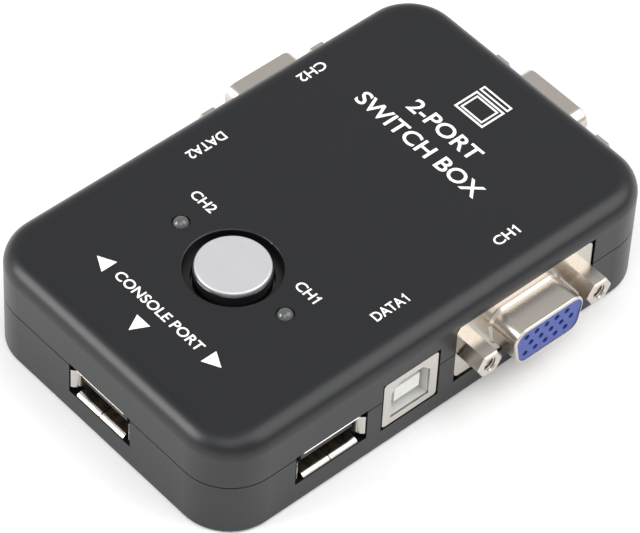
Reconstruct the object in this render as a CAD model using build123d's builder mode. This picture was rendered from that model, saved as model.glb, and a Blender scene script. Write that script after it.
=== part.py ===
from build123d import *
import os
from math import cos, radians, sin, tan

# Two-port KVM switch box. Millimetres. X right, Y rear, Z up; origin at the centre of the underside.
# The two long walls carry one VGA, one USB-B and one USB-A socket each. The rear wall carries the
# monitor's VGA socket, the front wall one USB-A socket, and the roof the selector button and two lamps.

# --- case ---
CASE_WIDTH = 62.0
CASE_LENGTH = 97.0
CASE_HEIGHT = 22.0
CORNER_RADIUS = 9.5
TOP_ROUND = 3.6
BASE_ROUND = 0.8
WALL = 1.8
FLOOR = 1.6
SEAM_Z = 11.6
SEAM_GAP = 0.2
LIP_THICKNESS = 0.85
LIP_HEIGHT = 1.3
LIP_CLEARANCE = 0.1
OPENING_CLEARANCE = 0.35
HALF_WIDTH = CASE_WIDTH / 2
HALF_LENGTH = CASE_LENGTH / 2
ROOF_UNDERSIDE = CASE_HEIGHT - WALL

# --- circuit board and the screws that clamp it between the covers ---
BOARD_BOTTOM = 3.0
BOARD_THICKNESS = 1.6
BOARD_TOP = BOARD_BOTTOM + BOARD_THICKNESS
BOARD_EDGE_GAP = 0.6
SCREW_SPACING_X = 48.0
SCREW_SPACING_Y = 83.0
SCREW_RADIUS = 1.25
PILOT_RADIUS = 1.3
SCREW_HEAD_RADIUS = 2.5
SCREW_HEAD_HEIGHT = 1.0
SCREW_RECESS_RADIUS = 2.9
SCREW_RECESS_DEPTH = 1.2
SCREW_TIP_Z = 12.0
SCREW_CROSS = 0.6
POST_RADIUS = 3.6
BOSS_RADIUS = 2.7
PIN_TIP_Z = BOARD_BOTTOM - 0.8
SCREW_HOLE_RADIUS = 1.5
PIN_HOLE_RADIUS = 0.45
LEG_HOLE_RADIUS = 1.1
SWITCH_HOLE_RADIUS = 0.5
FIT = 0.05

# --- VGA sockets ---
VGA_Y = 17.6
VGA_Z = 11.2
VGA_FLANGE_WIDTH = 30.8
VGA_FLANGE_HEIGHT = 12.5
VGA_FLANGE_THICKNESS = 0.8
VGA_FLANGE_RADIUS = 1.4
VGA_RECESS = 0.3
VGA_SKIRT_RISE = 0.5
VGA_SKIRT_HEIGHT = 0.5
VGA_NOSE_RECESS = 0.15
VGA_CONTACT_RECESS = 1.4
VGA_SHELL_WIDTH = 16.5
VGA_SHELL_HEIGHT = 8.1
VGA_SHELL_RADIUS = 2.5
VGA_SHELL_THICKNESS = 0.5
VGA_MOUTH_ROUND = 0.38
VGA_REACH = 5.9
VGA_LEAN = 10.0
VGA_PITCH = 2.29
VGA_ROW_PITCH = 1.98
VGA_STAGGER = 0.57
VGA_HOLE_RADIUS = 0.56
VGA_CONTACT_RADIUS = 0.44
VGA_BODY_WIDTH = 18.8
VGA_BODY_DEPTH = 8.2
VGA_TAIL_DEPTH = 9.4
VGA_TAIL_STEP = 1.8
JACK_SPACING = 25.0
JACK_HEX = 4.8
JACK_REACH = 5.1
JACK_THREAD_RADIUS = 1.25
JACK_THREAD_DEPTH = 4.6
JACK_SHANK_RADIUS = 1.4
JACK_SHANK_END = -4.6
JACK_TIP_CHAMFER = 0.3
JACK_RIM_CHAMFER = 0.25
JACK_HOLE_RADIUS = 1.55
BRACKET_WIDTH = 5.4
BRACKET_SHEET = 0.8
BRACKET_FOOT_DEPTH = 8.5
BRACKET_NUT_RADIUS = 2.5
BRACKET_NUT_DEPTH = 2.3
PEG_DEPTH = 5.5
PEG_WIDTH = 1.6

# --- USB-B sockets ---
USB_B_Y = -8.0
USB_B_Z = BOARD_TOP + 5.3
USB_B_WIDTH = 12.0
USB_B_HEIGHT = 10.6
USB_B_DEPTH = 15.6
USB_B_MOUTH_WIDTH = 8.5
USB_B_MOUTH_HEIGHT = 7.8
USB_B_BEVEL = 1.7
USB_B_CAVITY = 9.0
USB_B_TONGUE_WIDTH = 5.6
USB_B_TONGUE_HEIGHT = 3.2
USB_B_TONGUE_RECESS = 0.9
USB_B_RECESS = 0.1
USB_B_CORNER = 0.7
USB_B_STRIP_RECESS = 1.0
USB_B_UPPER_TAIL_DEPTH = 18.2
USB_B_LOWER_TAIL_DEPTH = 16.6
USB_B_STRIP_X = 1.25

# --- USB-A sockets ---
USB_A_Y = -25.3
USB_A_Z = 8.5
USB_A_WIDTH = 13.1
USB_A_HEIGHT = 5.8
USB_A_LIP_WIDTH = 15.2
USB_A_LIP_HEIGHT = 6.6
USB_A_LIP_ANGLE = 60.0
USB_A_LIP_LONG = 11.8
USB_A_LIP_SHORT = 4.2
USB_A_RECESS = 0.05
USB_A_SEAM = 0.2
USB_A_SEAM_DEPTH = 6.0
USB_A_DEPTH = 14.0
USB_A_CAVITY = 10.2
USB_A_TONGUE_WIDTH = 11.1
USB_A_TONGUE_HEIGHT = 1.84
USB_A_TONGUE_UP = 1.1
USB_A_TONGUE_RECESS = 1.2
USB_A_FOOT_DEPTH = 1.5
USB_A_STRIP_RECESS = 0.8
USB_A_STRIPS = [-3.5, -1.0, 1.0, 3.5]
USB_A_TAIL_DEPTH = 16.9
USB_LEG_DEPTH = 10.5
SHEET = 0.35
STRIP = 0.25
TAIL = 0.5
USB_B_STRIPS = [  # sideways place, height and tail depth of the four contact strips
    (-USB_B_STRIP_X, (USB_B_TONGUE_HEIGHT + STRIP) / 2, USB_B_UPPER_TAIL_DEPTH),
    (USB_B_STRIP_X, (USB_B_TONGUE_HEIGHT + STRIP) / 2, USB_B_UPPER_TAIL_DEPTH),
    (-USB_B_STRIP_X, -(USB_B_TONGUE_HEIGHT + STRIP) / 2, USB_B_LOWER_TAIL_DEPTH),
    (USB_B_STRIP_X, -(USB_B_TONGUE_HEIGHT + STRIP) / 2, USB_B_LOWER_TAIL_DEPTH),
]

# --- selector button and its switch ---
BUTTON_Y = -20.1
WELL_RADIUS = 8.4
WELL_DEPTH = 2.2
WELL_FLOOR = 1.2
WELL_WALL = 1.2
WELL_LIP = 0.35
WELL_HOLE_RADIUS = 7.1
CAP_RADIUS = 6.7
CAP_CHAMFER = 0.12
CAP_REST_GAP = 0.3
CAP_TOP = CASE_HEIGHT + 0.1
CAP_BOTTOM = 15.2
CAP_WALL = 1.0
CAP_ROOF = 1.8
CAP_COLLAR_RADIUS = 7.6
CAP_COLLAR_HEIGHT = 1.0
CAP_HUB_RADIUS = 2.9
DISC_RADIUS = 6.5
DISC_THICKNESS = 1.25
DISC_PROUD = 0.7
DISC_ROUND = 0.4
SWITCH_SIZE = 8.5
SWITCH_HEIGHT = 6.8
SWITCH_CAVITY = 6.4
SWITCH_FLOOR = 1.2
FRAME_SHEET = 0.3
FRAME_EAR = 4.5
STEM_SIZE = 3.2
STEM_FIT = 0.03
STEM_CHAMFER = 0.3
STEM_WINDOW = 3.8
STEM_FOOT_ROUND = 0.4
STEM_TOP = 18.9
STEM_FOOT_SIZE = 6.0
STEM_FOOT_LOW = 8.6
STEM_FOOT_HIGH = 11.0
SPRING_RADIUS = 1.2
SPRING_WIRE = 0.15
SPRING_TURNS = 5
SPRING_TOP = 10.0
SPRING_END_GAP = 0.02
SWITCH_PIN_PITCH = 2.5
SWITCH_PIN_ROWS = 4.5
SWITCH_PIN_THICKNESS = 0.3
SWITCH_PIN_WIDTH = 0.7

# --- lamps ---
LED_X = 13.1
LED_Y = -20.2
LED_RADIUS = 1.5
LED_FLANGE_RADIUS = 1.9
LED_BASE = 17.0
LED_TOP = CASE_HEIGHT + 0.9
LED_HOLE_RADIUS = 1.6
LED_LEAD = 0.5
LED_PITCH = 2.54
LED_FLANGE_HEIGHT = 1.0
LED_NECK_Z = LED_BASE + 1.4
LED_HEAD_Z = LED_NECK_Z + 1.6
LED_ANVIL = (-0.42, 1.3)
LED_POST = (0.85, 0.6)

# --- electronics ---
CHIP_LEAD = 0.4
CHIP_LEAD_PITCH = 1.27
CHIP_STANDOFF = 0.2

os.makedirs("parts", exist_ok=True)


def write(part, name):
    """Label one finished piece and write its STEP file."""
    part.label = name
    export_step(part, f"parts/{name}.step")


# Planes on the outer face of each wall: local x runs along the wall, local y is up, local z is outward.
def right_wall(along, height):
    return Plane(origin=(HALF_WIDTH, along, height), x_dir=(0, 1, 0), z_dir=(1, 0, 0))


def left_wall(along, height):
    return Plane(origin=(-HALF_WIDTH, along, height), x_dir=(0, -1, 0), z_dir=(-1, 0, 0))


def rear_wall(along, height):
    return Plane(origin=(along, HALF_LENGTH, height), x_dir=(-1, 0, 0), z_dir=(0, 1, 0))


def front_wall(along, height):
    return Plane(origin=(along, -HALF_LENGTH, height), x_dir=(1, 0, 0), z_dir=(0, -1, 0))


VGA_FACES = {
    "right": right_wall(VGA_Y, VGA_Z),
    "left": left_wall(VGA_Y, VGA_Z),
    "rear": rear_wall(0, VGA_Z),
}
USB_B_FACES = {"right": right_wall(USB_B_Y, USB_B_Z), "left": left_wall(USB_B_Y, USB_B_Z)}
USB_A_FACES = {
    "right": right_wall(USB_A_Y, USB_A_Z),
    "left": left_wall(USB_A_Y, USB_A_Z),
    "front": front_wall(0, USB_A_Z),
}
VGA_ROWS = [  # height, sideways shift and tail depth of the upper, middle and lower rows of contacts
    (VGA_ROW_PITCH, -VGA_STAGGER, VGA_TAIL_DEPTH + 2 * VGA_TAIL_STEP),
    (0, VGA_STAGGER, VGA_TAIL_DEPTH + VGA_TAIL_STEP),
    (-VGA_ROW_PITCH, -VGA_STAGGER, VGA_TAIL_DEPTH),
]
JACK_PLACES = [(-JACK_SPACING / 2, 0), (JACK_SPACING / 2, 0)]
VGA_CONTACT_PLACES = [
    (shift + (column - 2) * VGA_PITCH, height) for height, shift, depth in VGA_ROWS for column in range(5)
]


def case_block(inset, low, high, top_round, base_round):
    """Block of the case's plan shape, inset all round, with its top and bottom edges rounded."""
    with BuildPart() as block:
        with BuildSketch(Plane.XY.offset(low)):
            RectangleRounded(CASE_WIDTH - 2 * inset, CASE_LENGTH - 2 * inset, CORNER_RADIUS - inset)
        extrude(amount=high - low)
        if top_round:
            fillet(block.faces().sort_by(Axis.Z)[-1].edges(), top_round)
        if base_round:
            fillet(block.faces().sort_by(Axis.Z)[0].edges(), base_round)
    return block.part


def socket_openings():
    """Blocks that pass through the walls where the sockets show."""
    clearance = OPENING_CLEARANCE
    reach = 2 * WALL
    with BuildPart() as openings:
        for face in VGA_FACES.values():
            with BuildSketch(face.offset(WALL)):
                Rectangle(VGA_FLANGE_WIDTH + 2 * clearance, VGA_FLANGE_HEIGHT + 2 * clearance)
            extrude(amount=-2 * reach)
        for face in USB_B_FACES.values():
            with BuildSketch(face.offset(WALL)):
                Rectangle(USB_B_WIDTH + 2 * clearance, USB_B_HEIGHT + 2 * clearance)
            extrude(amount=-2 * reach)
        for face in USB_A_FACES.values():
            with BuildSketch(face.offset(WALL)):
                Rectangle(USB_A_LIP_WIDTH + clearance, USB_A_LIP_HEIGHT + clearance)
            extrude(amount=-2 * reach)
    return openings.part


def make_top_cover(openings):
    """Upper shell with the button well, the lamp holes and four screw bosses."""
    low = SEAM_Z + SEAM_GAP / 2
    outside = case_block(0, low, CASE_HEIGHT, TOP_ROUND, 0)
    inside = case_block(WALL, low, ROOF_UNDERSIDE, TOP_ROUND - WALL, 0)
    rebate = case_block(WALL - LIP_THICKNESS - LIP_CLEARANCE, low, low + LIP_HEIGHT + LIP_CLEARANCE, 0, 0)
    with BuildPart() as top_cover:
        add(outside)
        add(inside, mode=Mode.SUBTRACT)
        add(rebate, mode=Mode.SUBTRACT)
        with BuildSketch(Plane.XY.offset(BOARD_TOP)):
            with GridLocations(SCREW_SPACING_X, SCREW_SPACING_Y, 2, 2):
                Circle(BOSS_RADIUS)
        extrude(amount=ROOF_UNDERSIDE - BOARD_TOP + WALL / 2)
        with BuildSketch(Plane.XY.offset(CASE_HEIGHT - WELL_DEPTH - WELL_FLOOR)):
            with Locations((0, BUTTON_Y)):
                Circle(WELL_RADIUS + WELL_WALL)
        extrude(amount=WELL_DEPTH + WELL_FLOOR - WALL / 2)
        with BuildSketch(Plane.XY.offset(CASE_HEIGHT)):
            with Locations((0, BUTTON_Y)):
                Circle(WELL_RADIUS)
        extrude(amount=-WELL_DEPTH, mode=Mode.SUBTRACT)
        lip = top_cover.edges().filter_by(GeomType.CIRCLE).group_by(Axis.Z)[-1].sort_by(Edge.radius)[-1]
        fillet(lip, WELL_LIP)
        with BuildSketch(Plane.XY.offset(CASE_HEIGHT)):
            with Locations((0, BUTTON_Y)):
                Circle(WELL_HOLE_RADIUS)
            with Locations((-LED_X, LED_Y), (LED_X, LED_Y)):
                Circle(LED_HOLE_RADIUS)
        extrude(amount=-(WELL_DEPTH + 2 * WELL_FLOOR), mode=Mode.SUBTRACT)
        with BuildSketch(Plane.XY.offset(BOARD_TOP)):
            with GridLocations(SCREW_SPACING_X, SCREW_SPACING_Y, 2, 2):
                Circle(PILOT_RADIUS)
        extrude(amount=SCREW_TIP_Z - BOARD_TOP + 1, mode=Mode.SUBTRACT)
        add(openings, mode=Mode.SUBTRACT)
    write(top_cover.part, "top_cover")


def make_bottom_cover(openings):
    """Lower tray with a locating lip along its rim and four recessed screw posts."""
    high = SEAM_Z - SEAM_GAP / 2
    outside = case_block(0, 0, high, 0, BASE_ROUND)
    inside = case_block(WALL, FLOOR, high, 0, 0)
    lip_outside = case_block(WALL - LIP_THICKNESS, high, high + LIP_HEIGHT, 0, 0)
    lip_inside = case_block(WALL, high, high + LIP_HEIGHT, 0, 0)
    with BuildPart() as bottom_cover:
        add(outside)
        add(inside, mode=Mode.SUBTRACT)
        add(lip_outside)
        add(lip_inside, mode=Mode.SUBTRACT)
        with BuildSketch():
            with GridLocations(SCREW_SPACING_X, SCREW_SPACING_Y, 2, 2):
                Circle(POST_RADIUS)
        extrude(amount=BOARD_BOTTOM)
        with GridLocations(SCREW_SPACING_X, SCREW_SPACING_Y, 2, 2):
            with Locations(Plane.XY.rotated((180, 0, 0))):
                CounterBoreHole(SCREW_HOLE_RADIUS, SCREW_RECESS_RADIUS, SCREW_RECESS_DEPTH, BOARD_BOTTOM)
        add(openings, mode=Mode.SUBTRACT)
    write(bottom_cover.part, "bottom_cover")


def make_case_screws():
    """Four cross-recess screws driven up from below, through the board, into the upper bosses."""
    head_low = SCREW_RECESS_DEPTH - SCREW_HEAD_HEIGHT
    with BuildPart() as case_screws:
        with BuildSketch(Plane.XY.offset(head_low)):
            with GridLocations(SCREW_SPACING_X, SCREW_SPACING_Y, 2, 2):
                Circle(SCREW_HEAD_RADIUS)
        extrude(amount=SCREW_HEAD_HEIGHT)
        fillet(case_screws.edges().group_by(Axis.Z)[0], SCREW_HEAD_HEIGHT / 2)
        with BuildSketch(Plane.XY.offset(head_low + SCREW_HEAD_HEIGHT)):
            with GridLocations(SCREW_SPACING_X, SCREW_SPACING_Y, 2, 2):
                Circle(SCREW_RADIUS)
        extrude(amount=SCREW_TIP_Z - head_low - SCREW_HEAD_HEIGHT)
        with BuildSketch(Plane.XY.offset(head_low)):
            with GridLocations(SCREW_SPACING_X, SCREW_SPACING_Y, 2, 2):
                Rectangle(SCREW_HEAD_RADIUS, SCREW_CROSS)
                Rectangle(SCREW_CROSS, SCREW_HEAD_RADIUS)
        extrude(amount=SCREW_CROSS, mode=Mode.SUBTRACT)
    write(case_screws.part, "case_screws")


def on_board(face, along, depth):
    """Place on the board, in plan, of a point so far along a wall and so deep behind it."""
    point = face.from_local_coords((along, 0, -depth))
    return (point.X, point.Y)


def pin_holes():
    """Every drilled hole of the board that takes a pin, as places grouped by radius."""
    small = []
    large = []
    for face in VGA_FACES.values():
        for height, shift, depth in VGA_ROWS:
            small += [on_board(face, shift + (column - 2) * VGA_PITCH, depth) for column in range(5)]
        large += [on_board(face, along, PEG_DEPTH) for along, up in JACK_PLACES]
    for face in USB_B_FACES.values():
        small += [on_board(face, along, depth) for along, up, depth in USB_B_STRIPS]
        large += [on_board(face, side * USB_B_WIDTH / 2, USB_LEG_DEPTH) for side in (-1, 1)]
    for face in USB_A_FACES.values():
        small += [on_board(face, along, USB_A_TAIL_DEPTH) for along in USB_A_STRIPS]
        large += [on_board(face, side * USB_A_WIDTH / 2, USB_LEG_DEPTH) for side in (-1, 1)]
    for lamp in (-LED_X, LED_X):
        small += [(lamp - LED_PITCH / 2, LED_Y), (lamp + LED_PITCH / 2, LED_Y)]
    return small, large


def make_circuit_board():
    """Board with its screw holes and one drilled hole for each pin."""
    small, large = pin_holes()
    inset = WALL + BOARD_EDGE_GAP
    with BuildPart() as circuit_board:
        with BuildSketch(Plane.XY.offset(BOARD_BOTTOM)):
            RectangleRounded(CASE_WIDTH - 2 * inset, CASE_LENGTH - 2 * inset, CORNER_RADIUS - inset)
            with GridLocations(SCREW_SPACING_X, SCREW_SPACING_Y, 2, 2):
                Circle(SCREW_HOLE_RADIUS, mode=Mode.SUBTRACT)
            with Locations(*small):
                Circle(PIN_HOLE_RADIUS, mode=Mode.SUBTRACT)
            with Locations(*large):
                Circle(LEG_HOLE_RADIUS, mode=Mode.SUBTRACT)
            with Locations((0, BUTTON_Y)):
                with GridLocations(SWITCH_PIN_ROWS, SWITCH_PIN_PITCH, 2, 3):
                    Circle(SWITCH_HOLE_RADIUS, mode=Mode.SUBTRACT)
        extrude(amount=BOARD_THICKNESS)
    write(circuit_board.part, "circuit_board")


def d_profile(width, height, radius):
    """D-shaped profile with its wide side up and its sides leaning in towards the bottom."""
    lean = height * tan(radians(VGA_LEAN))
    with BuildSketch() as profile:
        Polygon(
            (-width / 2, height / 2),
            (-width / 2 + lean, -height / 2),
            (width / 2 - lean, -height / 2),
            (width / 2, height / 2),
            align=None,
        )
        fillet(profile.vertices(), radius)
    return profile.sketch


def make_vga_shell(face, name):
    """Flange plate with the D-shaped metal sleeve drawn out of it."""
    sleeve = d_profile(VGA_SHELL_WIDTH, VGA_SHELL_HEIGHT, VGA_SHELL_RADIUS)
    skirt = d_profile(
        VGA_SHELL_WIDTH + 2 * VGA_SKIRT_RISE,
        VGA_SHELL_HEIGHT + 2 * VGA_SKIRT_RISE,
        VGA_SHELL_RADIUS + VGA_SKIRT_RISE,
    )
    bore = d_profile(
        VGA_SHELL_WIDTH - 2 * VGA_SHELL_THICKNESS,
        VGA_SHELL_HEIGHT - 2 * VGA_SHELL_THICKNESS,
        VGA_SHELL_RADIUS - VGA_SHELL_THICKNESS,
    )
    with BuildPart() as shell:
        with BuildSketch(face.offset(-VGA_RECESS)):
            RectangleRounded(VGA_FLANGE_WIDTH, VGA_FLANGE_HEIGHT, VGA_FLANGE_RADIUS)
            with Locations(*JACK_PLACES):
                Circle(JACK_HOLE_RADIUS, mode=Mode.SUBTRACT)
        extrude(amount=-VGA_FLANGE_THICKNESS)
        with BuildSketch(face.offset(-VGA_RECESS)):
            add(skirt)
        with BuildSketch(face.offset(VGA_SKIRT_HEIGHT - VGA_RECESS)):
            add(sleeve)
        loft()
        with BuildSketch(face.offset(VGA_SKIRT_HEIGHT - VGA_RECESS)):
            add(sleeve)
        extrude(amount=VGA_REACH - VGA_SKIRT_HEIGHT + VGA_RECESS)
        mouth = shell.faces().filter_by(face).sort_by(Axis((0, 0, 0), face.z_dir))[-1]
        fillet(mouth.edges(), VGA_MOUTH_ROUND)
        with BuildSketch(face.offset(VGA_REACH)):
            add(bore)
        extrude(amount=-(VGA_REACH + 2 * VGA_FLANGE_THICKNESS), mode=Mode.SUBTRACT)
    write(shell.part, name)


def make_vga_insulator(face, name):
    """Coloured plastic nose inside the sleeve, with fifteen holes in three rows."""
    nose = d_profile(
        VGA_SHELL_WIDTH - 2 * (VGA_SHELL_THICKNESS + FIT),
        VGA_SHELL_HEIGHT - 2 * (VGA_SHELL_THICKNESS + FIT),
        VGA_SHELL_RADIUS - VGA_SHELL_THICKNESS - FIT,
    )
    front = VGA_REACH - VGA_NOSE_RECESS
    back = VGA_RECESS + VGA_FLANGE_THICKNESS
    with BuildPart() as insulator:
        with BuildSketch(face.offset(front)):
            add(nose)
            with Locations(*VGA_CONTACT_PLACES):
                Circle(VGA_HOLE_RADIUS, mode=Mode.SUBTRACT)
        extrude(amount=-(front + back))
    write(insulator.part, name)


def make_vga_housing(face, name):
    """Square plastic block behind the flange that holds the rear of the contacts."""
    front = VGA_RECESS + VGA_FLANGE_THICKNESS
    low = BOARD_TOP - VGA_Z
    high = VGA_FLANGE_HEIGHT / 2 - BRACKET_SHEET
    with BuildPart() as housing:
        with BuildSketch(face.offset(-front)):
            with Locations((0, (low + high) / 2)):
                Rectangle(VGA_BODY_WIDTH, high - low)
            with Locations(*VGA_CONTACT_PLACES):
                Circle(VGA_HOLE_RADIUS, mode=Mode.SUBTRACT)
        extrude(amount=-(VGA_BODY_DEPTH - front))
    write(housing.part, name)


def make_vga_contacts(face, name):
    """Fifteen contacts, each a round socket end and a tail bent down through the board."""
    socket_end = VGA_REACH - VGA_CONTACT_RECESS
    drop = PIN_TIP_Z - VGA_Z
    with BuildPart() as contacts:
        for height, shift, depth in VGA_ROWS:
            columns = [shift + (column - 2) * VGA_PITCH for column in range(5)]
            with BuildSketch(face.offset(socket_end)):
                with Locations(*[(along, height) for along in columns]):
                    Circle(VGA_CONTACT_RADIUS)
            extrude(amount=-(socket_end + depth))
            with BuildSketch(face.offset(-depth + TAIL / 2)):
                with Locations(*[(along, (height + drop) / 2) for along in columns]):
                    Rectangle(TAIL, height - drop)
            extrude(amount=-TAIL)
    write(contacts.part, name)


def make_vga_brackets(face, name):
    """Two bent ears behind the flange, each with a nut for its jackscrew and a peg into the board."""
    front = VGA_RECESS + VGA_FLANGE_THICKNESS
    foot_low = BOARD_TOP - VGA_Z
    ear_low = -VGA_FLANGE_HEIGHT / 2
    ear_high = VGA_FLANGE_HEIGHT / 2 - 1
    with BuildPart() as brackets:
        with BuildSketch(face.offset(-front)):
            with Locations(*[(along, (ear_low + ear_high) / 2) for along, up in JACK_PLACES]):
                Rectangle(BRACKET_WIDTH, ear_high - ear_low)
        extrude(amount=-BRACKET_SHEET)
        with BuildSketch(face.offset(-front - BRACKET_SHEET)):
            with Locations(*[(along, foot_low + BRACKET_SHEET / 2) for along, up in JACK_PLACES]):
                Rectangle(BRACKET_WIDTH, BRACKET_SHEET)
        extrude(amount=-(BRACKET_FOOT_DEPTH - front - BRACKET_SHEET))
        with BuildSketch(face.offset(-PEG_DEPTH + BRACKET_SHEET / 2)):
            peg_low = PIN_TIP_Z - VGA_Z
            with Locations(*[(along, (foot_low + peg_low) / 2) for along, up in JACK_PLACES]):
                Rectangle(PEG_WIDTH, foot_low - peg_low)
        extrude(amount=-BRACKET_SHEET)
        with BuildSketch(face.offset(-front - BRACKET_SHEET)):
            with Locations(*JACK_PLACES):
                Circle(BRACKET_NUT_RADIUS)
        extrude(amount=-BRACKET_NUT_DEPTH)
        with BuildSketch(face.offset(-front)):
            with Locations(*JACK_PLACES):
                Circle(JACK_SHANK_RADIUS + FIT)
        extrude(amount=-(BRACKET_SHEET + BRACKET_NUT_DEPTH), mode=Mode.SUBTRACT)
    write(brackets.part, name)


def make_vga_jackscrews(face, name):
    """Two hexagonal standoffs with a tapped hole each, screwed through the flange."""
    with BuildPart() as jackscrews:
        with BuildSketch(face.offset(-VGA_RECESS)):
            with Locations(*JACK_PLACES):
                RegularPolygon(JACK_HEX / 2, 6, major_radius=False)
        extrude(amount=JACK_REACH + VGA_RECESS)
        tips = jackscrews.faces().filter_by(face).group_by(Axis((0, 0, 0), face.z_dir))[-1]
        chamfer(tips.edges(), JACK_TIP_CHAMFER)
        with BuildSketch(face.offset(-VGA_RECESS)):
            with Locations(*JACK_PLACES):
                Circle(JACK_SHANK_RADIUS)
        extrude(amount=JACK_SHANK_END + VGA_RECESS)
        with BuildSketch(face.offset(JACK_REACH)):
            with Locations(*JACK_PLACES):
                Circle(JACK_THREAD_RADIUS)
        extrude(amount=-JACK_THREAD_DEPTH, mode=Mode.SUBTRACT)
        rims = jackscrews.edges().filter_by(GeomType.CIRCLE).group_by(Axis((0, 0, 0), face.z_dir))[-1]
        chamfer(rims, JACK_RIM_CHAMFER)
    write(jackscrews.part, name)


def usb_b_mouth():
    """Nearly square mouth whose two upper corners are bevelled."""
    half = USB_B_MOUTH_WIDTH / 2
    top = USB_B_MOUTH_HEIGHT / 2
    with BuildSketch() as mouth:
        Polygon(
            (-half, -top),
            (half, -top),
            (half, top - USB_B_BEVEL),
            (half - USB_B_BEVEL, top),
            (-half + USB_B_BEVEL, top),
            (-half, top - USB_B_BEVEL),
            align=None,
        )
    return mouth.sketch


def make_usb_b_shell(face, name):
    """Folded sheet box with a front plate around the mouth and two legs through the board."""
    mouth = usb_b_mouth()
    with BuildPart() as shell:
        with BuildSketch(face.offset(-USB_B_RECESS)):
            RectangleRounded(USB_B_WIDTH, USB_B_HEIGHT, USB_B_CORNER)
        extrude(amount=-USB_B_DEPTH)
        with BuildSketch(face.offset(-USB_B_RECESS - SHEET)):
            Rectangle(USB_B_WIDTH - 2 * SHEET, USB_B_HEIGHT - 2 * SHEET)
        extrude(amount=-USB_B_DEPTH, mode=Mode.SUBTRACT)
        with BuildSketch(face):
            add(mouth)
        extrude(amount=-USB_B_DEPTH / 2, mode=Mode.SUBTRACT)
        with BuildSketch(face.offset(-USB_LEG_DEPTH + PEG_WIDTH / 2)):
            low = PIN_TIP_Z - USB_B_Z
            for side in (-1, 1):
                with Locations((side * (USB_B_WIDTH - SHEET) / 2, low / 2)):
                    Rectangle(SHEET, -low)
        extrude(amount=-PEG_WIDTH)
    write(shell.part, name)


def make_usb_b_contacts(face):
    """Four flat strips on the tongue, two above and two below, with tails through the board."""
    front = USB_B_RECESS + USB_B_TONGUE_RECESS + USB_B_STRIP_RECESS
    drop = PIN_TIP_Z - USB_B_Z
    with BuildPart() as contacts:
        for along, up, depth in USB_B_STRIPS:
            with BuildSketch(face.offset(-front)):
                with Locations((along, up)):
                    Rectangle(2 * TAIL, STRIP)
            extrude(amount=-(depth - front))
            with BuildSketch(face.offset(-depth + STRIP / 2)):
                with Locations((along, (up + STRIP / 2 + drop) / 2)):
                    Rectangle(TAIL, up + STRIP / 2 - drop)
            extrude(amount=-STRIP)
    return contacts.part


def make_usb_b_insulator(face, contacts, name):
    """Plastic block with a bevelled pocket and a tongue standing in it."""
    mouth = usb_b_mouth()
    front = USB_B_RECESS + SHEET + FIT
    with BuildPart() as insulator:
        with BuildSketch(face.offset(-front)):
            Rectangle(USB_B_WIDTH - 2 * (SHEET + FIT), USB_B_HEIGHT - 2 * (SHEET + FIT))
        extrude(amount=-(USB_B_DEPTH - front))
        with BuildSketch(face.offset(-front)):
            add(mouth)
        extrude(amount=-USB_B_CAVITY, mode=Mode.SUBTRACT)
        with BuildSketch(face.offset(-USB_B_RECESS - USB_B_TONGUE_RECESS)):
            Rectangle(USB_B_TONGUE_WIDTH, USB_B_TONGUE_HEIGHT)
        extrude(amount=-(USB_B_CAVITY + front - USB_B_RECESS - USB_B_TONGUE_RECESS))
        add(contacts, mode=Mode.SUBTRACT)
    write(insulator.part, name)


def lip_bend(inside, tip):
    """Bend radius of a lip on its inner face, and the depth over which it bends."""
    angle = radians(USB_A_LIP_ANGLE)
    radius = (tip - SHEET * cos(angle) - inside) / (1 - cos(angle))
    return radius, radius * sin(angle)


def lip_profiles(plane, inside, tip, root):
    """Section of two opposite lips: sheet that leaves the tube straight and bends outwards to its tip."""
    radius, run = lip_bend(inside, tip)
    start = USB_A_RECESS + run
    with BuildSketch(plane) as profiles:
        for side in (-1, 1):
            turn = side * USB_A_LIP_ANGLE
            with BuildLine():
                inner = JernArc((-start, side * inside), (1, 0), radius, turn)
                outer = JernArc((-start, side * (inside + SHEET)), (1, 0), radius - SHEET, turn)
                Line(inner @ 1, outer @ 1)
                Polyline(inner @ 0, (-root, side * inside), (-root, side * (inside + SHEET)), outer @ 0)
            make_face()
    return profiles.sketch


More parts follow.
